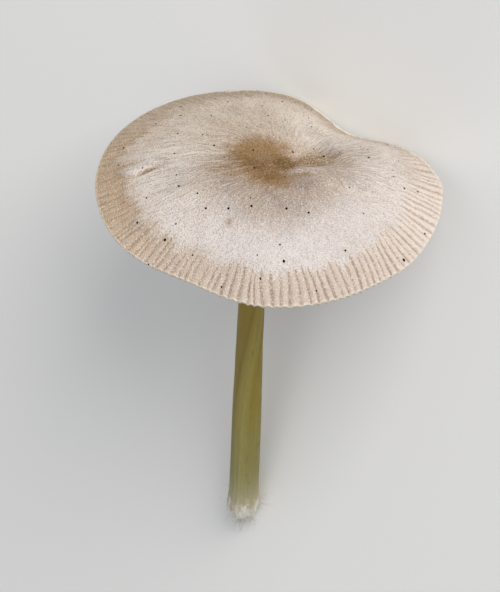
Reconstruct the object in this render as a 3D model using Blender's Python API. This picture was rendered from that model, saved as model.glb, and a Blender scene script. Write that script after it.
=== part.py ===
"""A lilac bonnet, a small gilled mushroom, picked and lying on its side.

The cap, the gills and the stem are modelled upright about the mushroom's own axis, with the middle of
the cap's skin at the origin and +Z up through the cap. An empty then lays all three down, so that the
rim touches the surface at z = 0 on either side of its notch, and so does the stem's foot. The cap is
towards +Y.
"""

import math

import bmesh
import bpy
import numpy as np
from mathutils import Matrix, Vector

MM = 0.001
PART_NAME = "lilac_bonnet"
FIT_GAP = 0.3 * MM

# Cap: its outline seen from above, and how far its rim hangs below the middle
CAP_RADIUS = 25.4 * MM
LOBE_SIZE = 0.4 * MM
LOBE_COUNT = 3
LOBE_TURN = math.radians(21)
RIM_DROP = 6.35 * MM
RIM_DROP_POWER = 2.2
RIM_TILT = 0.35 * MM
RIM_TILT_TURN = math.radians(-30)
DENT_DEPTH = 2.0 * MM
DENT_TURN = math.radians(243)
DENT_WIDTH = math.radians(20)

# Fold: the valley that runs out to a notch in the rim, and the sharper crease that it starts with
FOLD_NOTCH = 4.6 * MM
FOLD_DEPTH = 1.3 * MM
FOLD_START = 0.35
FOLD_TURN = math.radians(54)
FOLD_WIDTH = math.radians(22)
FOLD_SWEEP = math.radians(44)
FOLD_SWEEP_POWER = 1.6
CREASE_DEPTH = 0.75 * MM
CREASE_WIDTH = math.radians(14)
CREASE_TURN = math.radians(2)
CREASE_SWEEP = math.radians(70)
CREASE_SHARE = 0.28
CREASE_REACH = 0.16
CREASE_TAIL = 0.32

# Middle of the cap: a shallow basin with a low boss in it
BASIN_DEPTH = 0.9 * MM
BASIN_RADIUS = 5.0 * MM
BOSS_HEIGHT = 0.55 * MM
BOSS_RADIUS = 1.9 * MM

FLESH_MIDDLE = 2.0 * MM
FLESH_RIM = 0.7 * MM

# Gills: one full gill to four lines on the rim, with shorter gills of two lengths between
FULL_GILLS = 32
LINES_PER_GILL = 4
LINES = FULL_GILLS * LINES_PER_GILL
LINE_DEPTH = 0.28 * MM
LINE_START = 0.79
GILL_THICKNESS = 0.6 * MM
GILL_DEPTH = 3.9 * MM
GILL_END_DEPTH = 0.25 * MM
GILL_BELLY = 0.75
GILL_OUTER = 0.985
FULL_GILL_INNER = 0.14
HALF_GILL_INNER = 0.46
SHORT_GILL_INNER = 0.7
HALF_GILL_SHARE = 0.8
SHORT_GILL_SHARE = 0.6
SHORT_GILL_RISE = 0.16
GILL_BED = 0.5 * MM
GILL_BED_INNER = 0.118
GILL_BED_OUTER = 0.93

# Stem: lengths are measured down from the middle of the cap's skin
STEM_END = 72.0 * MM
STEM_SHIFT = 1.7 * MM
STEM_SHIFT_LENGTH = 25.0 * MM
STEM_TOP_RADIUS = 1.92 * MM
STEM_FOOT_RADIUS = 2.28 * MM
STEM_FLARE = 0.65 * MM
STEM_FLARE_LENGTH = 3.0 * MM
FOOT_SWELL = 0.25 * MM
FOOT_SWELL_AT = 69.0 * MM
FOOT_SWELL_LENGTH = 2.2 * MM
FOOT_ROUND = 3.2 * MM
STEM_FLATTENING = 0.04
STEM_GROOVE = 0.06
STEM_GROOVE_WIDTH = math.radians(20)
STEM_GROOVE_TURN = math.radians(3)
STEM_TWIST = math.radians(-155)
STEM_TWIST_SHARE = 0.7
STEM_SIDES = 28
STEM_STATIONS = 30

# How finely the solids are divided
LINE_STEPS = 3
RIM_COUNT = LINES * LINE_STEPS
MIDDLE_COUNT = LINES
INNER_COUNT = LINES // 2
SKIN_INNER_SHARES = (0.05, 0.11, 0.18, 0.27)
SKIN_MIDDLE_SHARES = (0.37, 0.48, 0.59, 0.69, 0.79)
SKIN_RIM_SHARES = (0.9, 1.0)
UNDER_SHARES = (0.84, 0.66, 0.46, 0.27, 0.12)
GILL_STEPS = 6
REST_TRIES = 12

CAP_COLOUR = (0.60, 0.51, 0.44, 1.0)
CAP_ROUGHNESS = 0.6
GILL_COLOUR = (0.66, 0.58, 0.53, 1.0)
GILL_ROUGHNESS = 0.7
STEM_COLOUR = (0.27, 0.22, 0.07, 1.0)
STEM_ROUGHNESS = 0.45
SHARP_EDGE = math.radians(35)


def smooth(x):
    """Rises from 0 to 1 as x does, level at both ends."""
    x = min(1.0, max(0.0, x))
    return x * x * (3 - 2 * x)


def hump(angle, centre, width):
    """1 at the centre angle, falling away smoothly to either side."""
    away = math.remainder(angle - centre, math.tau)
    return math.exp(-((away / width) ** 2))


def groove(angle):
    """1 along each line of the rim, 0 on the ridge between two lines."""
    from_line = abs(math.remainder(angle * LINES / math.tau, 1.0))
    return max(0.0, 1.0 - LINE_STEPS * from_line)


def rim_radius(angle):
    """The cap's radius at that angle, seen from above."""
    lobes = LOBE_SIZE * math.cos(LOBE_COUNT * (angle - LOBE_TURN))
    notch = FOLD_NOTCH * hump(angle, FOLD_TURN, FOLD_WIDTH)
    dent = DENT_DEPTH * hump(angle, DENT_TURN, DENT_WIDTH)
    return CAP_RADIUS + lobes - notch - dent


def fold_angle(share):
    """Where the valley's bottom lies. It sweeps round on its way out to the rim."""
    return FOLD_TURN - FOLD_SWEEP * (1 - min(share, 1.0)) ** FOLD_SWEEP_POWER


def body_height(share, angle):
    """Height of the cap's broad form at a share of the rim's radius: a dome with a fold in it."""
    drop = (RIM_DROP + RIM_TILT * math.cos(angle - RIM_TILT_TURN)) * share**RIM_DROP_POWER
    valley = smooth(share / FOLD_START) * hump(angle, fold_angle(share), FOLD_WIDTH)
    return -drop - FOLD_DEPTH * valley


def skin_height(share, angle):
    """Height of the cap's skin, with the basin, the boss, the crease and the lines near the rim."""
    radius = share * rim_radius(angle)
    basin = BASIN_DEPTH * math.exp(-((radius / BASIN_RADIUS) ** 2))
    boss = BOSS_HEIGHT * math.exp(-((radius / BOSS_RADIUS) ** 2))
    reach = CREASE_REACH if share < CREASE_SHARE else CREASE_TAIL
    along = math.exp(-(((share - CREASE_SHARE) / reach) ** 2))
    crease_angle = CREASE_TURN + CREASE_SWEEP * share**2
    crease = CREASE_DEPTH * along * hump(angle, crease_angle, CREASE_WIDTH)
    lines = LINE_DEPTH * smooth((share - LINE_START) / (1 - LINE_START)) * groove(angle)
    middle = BASIN_DEPTH - BOSS_HEIGHT
    return body_height(share, angle) + middle - basin + boss - crease - lines


def under_height(share, angle):
    """Height of the flesh's underside, from which the gills hang."""
    flesh = FLESH_RIM + (FLESH_MIDDLE - FLESH_RIM) * (1 - share**2)
    return body_height(share, angle) - flesh


def polar(radius, angle, height):
    """The point at that radius and angle round the axis, and that height along it."""
    return Vector((radius * math.cos(angle), radius * math.sin(angle), height))


def skin_point(share, angle):
    return polar(share * rim_radius(angle), angle, skin_height(share, angle))


def under_point(share, angle, below=0.0):
    radius = share * rim_radius(angle)
    return polar(radius, angle, under_height(share, angle) - below)


def rim_under_point(angle):
    """The rim's lower edge, straight below the skin's edge."""
    edge = skin_point(1.0, angle)
    return edge - Vector((0, 0, FLESH_RIM))


def ring(count, point):
    """Points all round the axis, one for each angle."""
    return [point(math.tau * k / count) for k in range(count)]


def bridge(bm, one, other):
    """Faces between two rings of vertices, the longer with a whole number of times as many."""
    few, many = sorted((one, other), key=len)
    times = len(many) // len(few)
    half = (times + 1) // 2
    for i, here in enumerate(few):
        if len(few) == 1:
            turn = [(many[j], many[(j + 1) % len(many)], here) for j in range(len(many))]
        else:
            there = few[(i + 1) % len(few)]
            near = [many[(i * times + j) % len(many)] for j in range(times + 1)]
            turn = [(near[j], near[j + 1], here if j < half else there) for j in range(times)]
            turn.append((here, near[half], there))
        for corners in turn:
            bm.faces.new(corners)


def solid_through(name, rings, ends_meet=False):
    """A closed mesh object whose skin runs through the rings in turn."""
    bm = bmesh.new()
    rows = [[bm.verts.new(p) for p in points] for points in rings]
    for one, other in zip(rows, rows[1:]):
        bridge(bm, one, other)
    if ends_meet:
        bridge(bm, rows[-1], rows[0])
    bmesh.ops.recalc_face_normals(bm, faces=bm.faces)
    mesh = bpy.data.meshes.new(name)
    bm.to_mesh(mesh)
    bm.free()
    return bpy.data.objects.new(name, mesh)


def finish_material(name, colour, roughness):
    material = bpy.data.materials.new(name)
    material.use_nodes = True
    shader = material.node_tree.nodes["Principled BSDF"]
    shader.inputs["Base Color"].default_value = colour
    shader.inputs["Roughness"].default_value = roughness
    shader.inputs["Metallic"].default_value = 0.0
    return material


def make_cap():
    """The flesh and its skin: a thin wavy dome, folded once, with fine lines round its rim."""
    rings = [[Vector((0, 0, skin_height(0, 0)))]]
    for shares, count in (
        (SKIN_INNER_SHARES, INNER_COUNT),
        (SKIN_MIDDLE_SHARES, MIDDLE_COUNT),
        (SKIN_RIM_SHARES, RIM_COUNT),
    ):
        rings += [ring(count, lambda a, s=s: skin_point(s, a)) for s in shares]
    rings.append(ring(RIM_COUNT, rim_under_point))
    counts = (MIDDLE_COUNT,) + (INNER_COUNT,) * (len(UNDER_SHARES) - 1)
    for s, count in zip(UNDER_SHARES, counts):
        rings.append(ring(count, lambda a, s=s: under_point(s, a)))
    rings.append([Vector((0, 0, under_height(0, 0)))])
    return solid_through("cap", rings)


def gill_bed():
    """The thin layer under the flesh that the gills grow from, open round the stem."""
    step = (GILL_BED_OUTER - GILL_BED_INNER) / (GILL_STEPS - 1)
    shares = [GILL_BED_INNER + step * i for i in range(GILL_STEPS)]
    above = [ring(INNER_COUNT, lambda a, s=s: under_point(s, a, FIT_GAP)) for s in shares]
    low = FIT_GAP + GILL_BED
    below = [ring(INNER_COUNT, lambda a, s=s: under_point(s, a, low)) for s in shares]
    return solid_through("gills", above + below[::-1], ends_meet=True)


def gill_depth(share, inner, part):
    """How far a gill hangs below the bed. Short gills rise from nothing at their inner end."""
    along = (share - FULL_GILL_INNER) / (GILL_OUTER - FULL_GILL_INNER)
    belly = math.sin(math.pi * min(1.0, max(0.0, along)) ** GILL_BELLY)
    if inner > FULL_GILL_INNER:
        belly *= part * smooth((share - inner) / SHORT_GILL_RISE)
    return GILL_END_DEPTH + (GILL_DEPTH - GILL_END_DEPTH) * belly


def gill_blade(number):
    """One gill: a flat blade standing along a radius, its upper edge sunk in the bed."""
    if number % LINES_PER_GILL == 0:
        inner, part, steps = FULL_GILL_INNER, 1.0, GILL_STEPS
    elif number % LINES_PER_GILL == LINES_PER_GILL // 2:
        inner, part, steps = HALF_GILL_INNER, HALF_GILL_SHARE, GILL_STEPS - 1
    else:
        inner, part, steps = SHORT_GILL_INNER, SHORT_GILL_SHARE, GILL_STEPS - 2
    angle = math.tau * number / LINES
    shares = [inner + (GILL_OUTER - inner) * i / (steps - 1) for i in range(steps)]
    bed = FIT_GAP + GILL_BED / 2
    upper = [under_point(s, angle, bed) for s in shares]
    lower = [under_point(s, angle, bed + gill_depth(s, inner, part)) for s in shares]
    aside = Vector((-math.sin(angle), math.cos(angle), 0)) * GILL_THICKNESS / 2
    outline = upper + lower[::-1]
    bm = bmesh.new()
    near = [bm.verts.new(p - aside) for p in outline]
    far = [bm.verts.new(p + aside) for p in outline]
    for i in range(len(outline)):
        j = (i + 1) % len(outline)
        bm.faces.new((near[i], near[j], far[j], far[i]))
    for i in range(steps - 1):
        a, b, c, d = i, i + 1, 2 * steps - 2 - i, 2 * steps - 1 - i
        bm.faces.new((near[a], near[b], near[c], near[d]))
        bm.faces.new((far[a], far[b], far[c], far[d]))
    bmesh.ops.recalc_face_normals(bm, faces=bm.faces)
    mesh = bpy.data.meshes.new(f"blade_{number:03d}")
    bm.to_mesh(mesh)
    bm.free()
    return bpy.data.objects.new(mesh.name, mesh)


def applied(obj):
    """Puts the mesh that the modifiers make in place of the object's own."""
    graph = bpy.context.evaluated_depsgraph_get()
    mesh = bpy.data.meshes.new_from_object(obj.evaluated_get(graph))
    obj.modifiers.clear()
    obj.data = mesh


def make_gills(collection):
    """All the gills and their bed, joined into one body."""
    gills = gill_bed()
    collection.objects.link(gills)
    blades = bpy.data.collections.new("gill_blades")
    bpy.context.scene.collection.children.link(blades)
    for number in range(LINES):
        blade = gill_blade(number)
        blade.hide_render = True
        blades.objects.link(blade)
    join = gills.modifiers.new("join", "BOOLEAN")
    join.operation = "UNION"
    join.operand_type = "COLLECTION"
    join.collection = blades
    join.solver = "MANIFOLD"
    applied(gills)
    for blade in list(blades.objects):
        bpy.data.objects.remove(blade)
    bpy.data.collections.remove(blades)
    return gills


def stem_top():
    return -under_height(0, 0) + FIT_GAP


def stem_radius(depth):
    """Half the stem's width at a depth below the cap's middle."""
    along = (depth - stem_top()) / (STEM_END - stem_top())
    radius = STEM_TOP_RADIUS + (STEM_FOOT_RADIUS - STEM_TOP_RADIUS) * smooth(along)
    radius += STEM_FLARE * math.exp(-(((depth - stem_top()) / STEM_FLARE_LENGTH) ** 2))
    radius += FOOT_SWELL * math.exp(-(((depth - FOOT_SWELL_AT) / FOOT_SWELL_LENGTH) ** 2))
    from_end = (STEM_END - depth) / FOOT_ROUND
    if from_end < 1:
        radius *= math.sqrt(max(0.0, 1 - (1 - from_end) ** 2))
    return radius


def stem_axis(depth):
    """The middle of the stem, which stands a little to one side of the cap's middle."""
    shift = STEM_SHIFT * smooth((depth - stem_top()) / STEM_SHIFT_LENGTH)
    return Vector((-shift, 0, -depth))


def stem_section(angle, depth):
    """The stem's outline as a share of its radius: a little flat, with one groove that twists."""
    along = (depth - stem_top()) / (STEM_END - stem_top())
    twist = STEM_GROOVE_TURN + STEM_TWIST * smooth(along / STEM_TWIST_SHARE)
    flat = STEM_FLATTENING * math.cos(2 * (angle - twist))
    return 1 + flat - STEM_GROOVE * hump(angle, twist, STEM_GROOVE_WIDTH)


def make_stem():
    """The stem: a slender, slightly bent and twisted rod with a rounded foot."""
    start = stem_top()
    body_end = STEM_END - FOOT_ROUND
    bodies = STEM_STATIONS * 2 // 3
    rounds = STEM_STATIONS - bodies
    depths = [start + (body_end - start) * i / bodies for i in range(bodies)]
    quarter = [math.pi / 2 * i / rounds for i in range(rounds)]
    depths += [body_end + FOOT_ROUND * math.sin(turn) for turn in quarter]

    def section(depth):
        middle = stem_axis(depth)
        return ring(
            STEM_SIDES,
            lambda a: middle + polar(stem_radius(depth) * stem_section(a, depth), a, 0),
        )

    rings = [[stem_axis(start)]] + [section(d) for d in depths] + [[stem_axis(STEM_END)]]
    return solid_through("stem", rings)


def points_of(obj):
    """The places of an object's vertices, one row for each."""
    return np.array([v.co for v in obj.data.vertices])


def lying_turn(rim, foot):
    """The turn that lays the mushroom on its rim, either side of the fold, and on its foot."""
    fold = np.array([math.cos(FOLD_TURN), math.sin(FOLD_TURN), 0])
    side = rim[:, 1] * fold[0] - rim[:, 0] * fold[1]
    up = -fold
    for _ in range(REST_TRIES):
        first, second, third = (p[np.argmin(p @ up)] for p in (rim[side > 0], rim[side < 0], foot))
        normal = np.cross(second - first, third - first)
        normal = normal / np.linalg.norm(normal)
        up = normal if normal @ fold < 0 else -normal
    up = Vector(up)
    ahead = Vector((0, 0, 1)) - up * up.z
    ahead.normalize()
    return Matrix((ahead.cross(up), ahead, up)).to_4x4()


def lay_down(cap, gills, stem):
    """An empty that turns the parts, with the middle of their box's underside at the origin."""
    rim = np.concatenate([points_of(cap), points_of(gills)])
    foot = points_of(stem)
    turn = lying_turn(rim, foot)
    points = np.concatenate([rim, foot]) @ np.array(turn.to_3x3()).T
    low, high = points.min(0), points.max(0)
    middle = Vector(((low[0] + high[0]) / 2, (low[1] + high[1]) / 2, low[2]))
    holder = bpy.data.objects.new("lying_mushroom", None)
    holder.matrix_world = Matrix.Translation(-middle) @ turn
    return holder


def main():
    for obj in list(bpy.data.objects):
        bpy.data.objects.remove(obj)
    collection = bpy.data.collections.new(PART_NAME)
    bpy.context.scene.collection.children.link(collection)

    cap = make_cap()
    stem = make_stem()
    for obj in (cap, stem):
        collection.objects.link(obj)
    gills = make_gills(collection)
    finishes = (
        (cap, CAP_COLOUR, CAP_ROUGHNESS),
        (gills, GILL_COLOUR, GILL_ROUGHNESS),
        (stem, STEM_COLOUR, STEM_ROUGHNESS),
    )
    for obj, colour, roughness in finishes:
        obj.data.materials.clear()
        obj.data.materials.append(finish_material(obj.name + "_finish", colour, roughness))
        obj.data.shade_smooth()
        obj.data.set_sharp_from_angle(angle=SHARP_EDGE)

    holder = lay_down(cap, gills, stem)
    collection.objects.link(holder)
    for obj in (cap, gills, stem):
        obj.parent = holder


main()
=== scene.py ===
# %% [markdown]
# # A lilac bonnet, picked and laid on its side
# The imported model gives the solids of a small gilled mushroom: its cap, its gills and its stem. They are
# right in size and place, and plain. Each is replaced here by a finer surface of the same form, with the
# lines, fibres and colours of the real thing. Loading the model comes first, and its box is kept so that
# the finished piece can be compared with it.

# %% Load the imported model
import math

import bpy
import numpy as np
from mathutils import Matrix, Vector


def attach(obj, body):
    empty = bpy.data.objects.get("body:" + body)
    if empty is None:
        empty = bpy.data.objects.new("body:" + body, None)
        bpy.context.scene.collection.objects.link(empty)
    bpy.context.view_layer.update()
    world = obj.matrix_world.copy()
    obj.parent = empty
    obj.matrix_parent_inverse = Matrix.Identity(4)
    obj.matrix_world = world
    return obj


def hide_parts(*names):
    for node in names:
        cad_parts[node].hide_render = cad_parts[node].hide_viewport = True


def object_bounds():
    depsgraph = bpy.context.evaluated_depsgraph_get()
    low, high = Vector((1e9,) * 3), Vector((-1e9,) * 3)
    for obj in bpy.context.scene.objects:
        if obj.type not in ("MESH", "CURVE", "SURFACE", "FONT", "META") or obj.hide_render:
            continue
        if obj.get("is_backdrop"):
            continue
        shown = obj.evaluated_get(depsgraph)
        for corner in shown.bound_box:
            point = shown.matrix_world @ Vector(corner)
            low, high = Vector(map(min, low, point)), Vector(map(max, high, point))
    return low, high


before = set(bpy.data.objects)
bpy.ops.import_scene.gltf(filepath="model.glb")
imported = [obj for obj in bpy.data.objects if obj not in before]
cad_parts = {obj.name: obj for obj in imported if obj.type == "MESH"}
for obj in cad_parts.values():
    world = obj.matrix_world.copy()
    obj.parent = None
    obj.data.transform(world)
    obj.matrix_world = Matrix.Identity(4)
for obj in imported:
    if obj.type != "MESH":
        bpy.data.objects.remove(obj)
packed_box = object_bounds()
print("nodes:", ", ".join(sorted(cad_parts)))

# %% [markdown]
# ## The mushroom's own frame
# A mushroom is easiest to describe standing up: the middle of the cap's skin at the origin, and the axis of
# the stem along Z. All its shapes are worked out in that frame, in millimetres, and one matrix lays them
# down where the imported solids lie.

# %% Lay the upright frame down
MM = 0.001
AXIS_RISE = math.radians(18.18)
SPIN = math.radians(33.37)
CAP_MIDDLE = Vector((0.38, 33.17, 23.23)) * MM

lean = Matrix.Rotation(AXIS_RISE - math.pi / 2, 4, "X")
lying = Matrix.Translation(CAP_MIDDLE) @ lean @ Matrix.Rotation(SPIN, 4, "Z")


def lay(points):
    """Upright millimetres to lying metres: each point is turned, scaled and shifted."""
    return points @ np.array(lying.to_3x3()).T * MM + np.array(lying.translation)


# %% [markdown]
# ## Camera
# The photograph looks down on the standing mushroom at about 40 degrees through a long lens. The camera
# keeps that place in the mushroom's own frame, so with the mushroom laid down it looks down more steeply.

# %% Place the camera
IMAGE = (500, 592)
DISTANCE = 450.0
PIXELS_PER_MM = 6.9
LOOK_DOWN = math.radians(40.1)
ROLL = math.radians(-2.35)
CAP_PIXEL = (269.0, 159.7)
SENSOR = 36.0

aside = (CAP_PIXEL[0] - IMAGE[0] / 2) / PIXELS_PER_MM
above = (IMAGE[1] / 2 - CAP_PIXEL[1]) / PIXELS_PER_MM
upright_to_view = (
    Matrix.Translation(Vector((aside, above, -DISTANCE)) * MM)
    @ Matrix.Rotation(ROLL, 4, "Z")
    @ Matrix.Rotation(LOOK_DOWN - math.pi / 2, 4, "X")
)
camera = bpy.data.objects.new("camera", bpy.data.cameras.new("camera"))
bpy.context.scene.collection.objects.link(camera)
camera.data.sensor_fit = "VERTICAL"
camera.data.sensor_height = SENSOR
camera.data.lens = SENSOR * PIXELS_PER_MM * DISTANCE / IMAGE[1]
camera.data.clip_start = 0.01
camera.matrix_world = lying @ upright_to_view.inverted()
bpy.context.scene.camera = camera
print("camera at", [round(x, 3) for x in camera.matrix_world.translation])

# %% [markdown]
# ## Form of the cap
# The cap is a thin dome. One deep fold runs from its middle out to a notch in the rim, and a shallower dent
# lies opposite. The middle is a basin with a low boss. These are the same formulas as the solid's, written
# for whole arrays of points.

# %% The cap's sizes
CAP_RADIUS = 25.4
LOBE_SIZE, LOBE_COUNT, LOBE_TURN = 0.4, 3, math.radians(21)
RIM_DROP, RIM_DROP_POWER = 6.35, 2.2
RIM_TILT, RIM_TILT_TURN = 0.35, math.radians(-30)
DENT_DEPTH, DENT_TURN, DENT_WIDTH = 2.0, math.radians(243), math.radians(20)
FOLD_NOTCH, FOLD_DEPTH, FOLD_START = 4.6, 1.3, 0.35
FOLD_TURN, FOLD_WIDTH = math.radians(54), math.radians(22)
FOLD_SWEEP, FOLD_SWEEP_POWER = math.radians(44), 1.6
CREASE_DEPTH, CREASE_WIDTH = 0.75, math.radians(14)
CREASE_TURN, CREASE_SWEEP = math.radians(2), math.radians(70)
CREASE_SHARE, CREASE_REACH, CREASE_TAIL = 0.28, 0.16, 0.32
BASIN_DEPTH, BASIN_RADIUS = 0.9, 5.0
BOSS_HEIGHT, BOSS_RADIUS = 0.55, 1.9
FLESH_MIDDLE, FLESH_RIM = 2.0, 0.35


# %% The cap's broad form
def smooth(x):
    """Rises from 0 to 1 as x does, level at both ends: 3x squared less 2x cubed."""
    x = np.clip(x, 0, 1)
    return x * x * (3 - 2 * x)


def bell(x, width):
    """1 at zero, falling smoothly to either side: e to the minus (x over width) squared."""
    return np.exp(-((x / width) ** 2))


def apart(angle, other):
    """The turn from one angle to another, between minus and plus half a turn."""
    return np.remainder(angle - other + np.pi, 2 * np.pi) - np.pi


def facing(angle, degrees, width):
    """1 where an angle is the given number of degrees, and a bell of that width to both sides of it."""
    return bell(apart(angle, math.radians(degrees)), math.radians(width))


def rim_radius(angle):
    """The cap's radius: a circle with faint lobes, less the fold's notch and the dent."""
    lobes = LOBE_SIZE * np.cos(LOBE_COUNT * (angle - LOBE_TURN))
    notch = FOLD_NOTCH * bell(apart(angle, FOLD_TURN), FOLD_WIDTH)
    dent = DENT_DEPTH * bell(apart(angle, DENT_TURN), DENT_WIDTH)
    return CAP_RADIUS + lobes - notch - dent


def fold_angle(share):
    """Where the valley's bottom lies at a share of the radius. It sweeps round on its way out."""
    return FOLD_TURN - FOLD_SWEEP * (1 - np.minimum(share, 1)) ** FOLD_SWEEP_POWER


def body_height(share, angle):
    """A dome that falls with a power of the share, less the valley of the fold."""
    drop = (RIM_DROP + RIM_TILT * np.cos(angle - RIM_TILT_TURN)) * share**RIM_DROP_POWER
    valley = smooth(share / FOLD_START) * bell(apart(angle, fold_angle(share)), FOLD_WIDTH)
    return -drop - FOLD_DEPTH * valley


def form_height(share, angle):
    """The dome with its basin, its boss and the crease at the start of the fold."""
    radius = share * rim_radius(angle)
    basin = BASIN_DEPTH * bell(radius, BASIN_RADIUS)
    boss = BOSS_HEIGHT * bell(radius, BOSS_RADIUS)
    along = bell(share - CREASE_SHARE, np.where(share < CREASE_SHARE, CREASE_REACH, CREASE_TAIL))
    crease_angle = CREASE_TURN + CREASE_SWEEP * share**2
    crease = CREASE_DEPTH * along * bell(apart(angle, crease_angle), CREASE_WIDTH)
    return body_height(share, angle) + BASIN_DEPTH - BOSS_HEIGHT - basin + boss - crease


def under_height(share, angle):
    """The dome again, lower by the flesh, which thins from the middle to the rim."""
    return body_height(share, angle) - FLESH_RIM - (FLESH_MIDDLE - FLESH_RIM) * (1 - share**2)


turn = np.linspace(0, 2 * np.pi, 720, endpoint=False)
print("rim radius", round(rim_radius(turn).min(), 1), "to", round(rim_radius(turn).max(), 1), "mm")

# %% [markdown]
# ## Smooth randomness
# Grown things are never even. A sum of sine waves in random directions gives a smooth random surface that
# is the same on each run, because the directions and phases come from a seeded generator.


# %% Random waves
def waves(points, wavelength, seed, count=14):
    """A sum of sines over the points' coordinates, each in a random direction with a random phase."""
    draw = np.random.default_rng(seed)
    ways = draw.normal(size=(count, points.shape[-1]))
    ways /= np.linalg.norm(ways, axis=1, keepdims=True)
    lengths = wavelength * draw.uniform(0.7, 1.4, count)
    phases = draw.uniform(0, 2 * np.pi, count)
    total = np.zeros(points.shape[:-1])
    for way, length, phase in zip(ways, lengths, phases):
        total += np.sin(points @ way * (2 * np.pi / length) + phase)
    return total / math.sqrt(count / 2)


def round_the_axis(angle, along, spread):
    """Points on a cylinder, so that noise read from them runs round the axis with no seam."""
    along = np.broadcast_to(along, angle.shape)
    return np.stack([np.cos(angle) * spread, np.sin(angle) * spread, along], -1)


# %% [markdown]
# ## From a grid of points to a mesh
# Every piece of the mushroom is closed round its axis, so each is one grid: a row for each step along a
# profile, and a column for each direction. Columns wrap round. A row can end in a pole, or the last row can
# join the first, as on a ring.


# %% Make a mesh object from a grid
def grid_faces(rows, columns, joined):
    """Four corners of each cell, with the columns wrapped round and, on a ring, the rows too."""
    row = np.arange(rows if joined else rows - 1)[:, None]
    column = np.arange(columns)[None, :]
    nextrow, nextcolumn = (row + 1) % rows, (column + 1) % columns
    corners = [row * columns + column, row * columns + nextcolumn]
    corners += [nextrow * columns + nextcolumn, nextrow * columns + column]
    return np.stack([np.broadcast_to(c, (len(row), columns)) for c in corners], -1).reshape(-1, 4)


def fan_faces(row, pole, columns, first):
    """Triangles from one row of the grid to a pole."""
    here = row * columns + np.arange(columns)
    there = row * columns + (np.arange(columns) + 1) % columns
    tip = np.full(columns, pole)
    return np.stack([there, here, tip] if first else [here, there, tip], -1)


def piece_from_grid(name, grid, poles=None, joined=False, values=None, inside_out=False):
    """A smooth mesh object from upright points, with a named number or vector on each vertex."""
    rows, columns = grid.shape[:2]
    points = grid.reshape(-1, 3)
    faces = grid_faces(rows, columns, joined).tolist()
    if poles is not None:
        points = np.concatenate([points, np.array(poles)])
        faces += fan_faces(0, rows * columns, columns, True).tolist()
        faces += fan_faces(rows - 1, rows * columns + 1, columns, False).tolist()
    if inside_out:
        faces = [f[::-1] for f in faces]
    mesh = bpy.data.meshes.new(name)
    mesh.from_pydata(lay(points).tolist(), [], faces)
    mesh.shade_smooth()
    for label, value in {"upright": grid, **(values or {})}.items():
        flat = np.asarray(value).reshape(rows * columns, -1)
        if poles is not None:
            ends = [flat[:columns].mean(0), flat[-columns:].mean(0)]
            flat = np.concatenate([flat, np.array(ends)])
        kind, field = ("FLOAT", "value") if flat.shape[1] == 1 else ("FLOAT_VECTOR", "vector")
        layer = mesh.attributes.new(label, kind, "POINT")
        layer.data.foreach_set(field, flat.astype(np.float32).ravel())
    piece = bpy.data.objects.new(name, mesh)
    bpy.context.scene.collection.objects.link(piece)
    return piece


def report_piece(piece):
    """Prints how many triangles a piece has and how large it is."""
    triangles = sum(len(p.vertices) - 2 for p in piece.data.polygons)
    sizes = ", ".join(f"{x / MM:.1f}" for x in piece.dimensions)
    print(f"{piece.name}: {triangles} triangles, {sizes} mm")


# %% [markdown]
# ## Cap
# The real skin has fine fibres that run out from the fold's start rather than from the exact middle, so the
# columns of the cap's grid fan out from that point. Over the gills' ends the thin flesh is grooved: one
# line for each gill. Eight columns go to each line, and the columns themselves wander a little, so that
# each groove follows its own columns and stays crisp.

# %% Columns and rows of the skin
LINES = 128
STEPS_PER_LINE = 8
LINE_WANDER = 0.22
SKIN_SHARES = np.concatenate(
    [
        np.linspace(0.008, 0.2, 13, endpoint=False),
        np.linspace(0.2, 0.74, 25, endpoint=False),
        np.linspace(0.74, 0.97, 18, endpoint=False),
        np.linspace(0.97, 1.0, 4),
    ]
)

columns = LINES * STEPS_PER_LINE
base_angle = np.arange(columns) * 2 * np.pi / columns
share = SKIN_SHARES[:, None] + 0 * base_angle[None, :]
pitch = 2 * np.pi / LINES
wander = waves(round_the_axis(base_angle + 0 * share, share * 4, 9), 1.6, seed=4)
angle = base_angle + LINE_WANDER * pitch * wander * smooth(share / 0.6)
print("columns", columns, "rows", len(SKIN_SHARES))

# %% [markdown]
# ## Lines round the rim
# The lines show only where the flesh is thin. They start a little unevenly, further in on the right, and no
# two are equally strong. Each is a shallow groove, deepest in front and almost flat behind.

# %% Lines and their grooves
LINE_START, LINE_START_SPREAD, LINE_START_SWAY, LINE_START_RIGHT = 0.815, 0.012, 0.01, 0.045
LINE_WIDTH, LINE_WIDTH_RIGHT = 0.2, 0.08
LINE_DEPTH, GROOVE_BEHIND, GROOVE_RUN_IN = 0.38, 0.12, 3.0

line_strength = np.random.default_rng(11).uniform(0.7, 1.0, LINES)
column_line = ((np.arange(columns) + STEPS_PER_LINE // 2) // STEPS_PER_LINE) % LINES
from_line = np.abs(np.remainder(np.arange(columns) / STEPS_PER_LINE + 0.5, 1) - 0.5)
along_rim = round_the_axis(base_angle, 0.0, 25.0)
line_start = LINE_START + LINE_START_SPREAD * waves(along_rim, 3.2, seed=8)
line_start = line_start + LINE_START_SWAY * waves(along_rim, 14.0, seed=9)
line_start = line_start - LINE_START_RIGHT * facing(base_angle, 352, 30)
band = (share - line_start) * CAP_RADIUS
line = bell(from_line, LINE_WIDTH + LINE_WIDTH_RIGHT * facing(angle, 350, 50))
line = line * line_strength[column_line]
front = facing(angle, 298, 82)
groove = (1 - np.sin(np.pi * from_line)) * line_strength[column_line]
groove = groove * smooth(band / GROOVE_RUN_IN + 0.1) * (GROOVE_BEHIND + (1 - GROOVE_BEHIND) * front)
print("lines start", round(line_start.min(), 2), "to", round(line_start.max(), 2), "of the way out")

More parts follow.
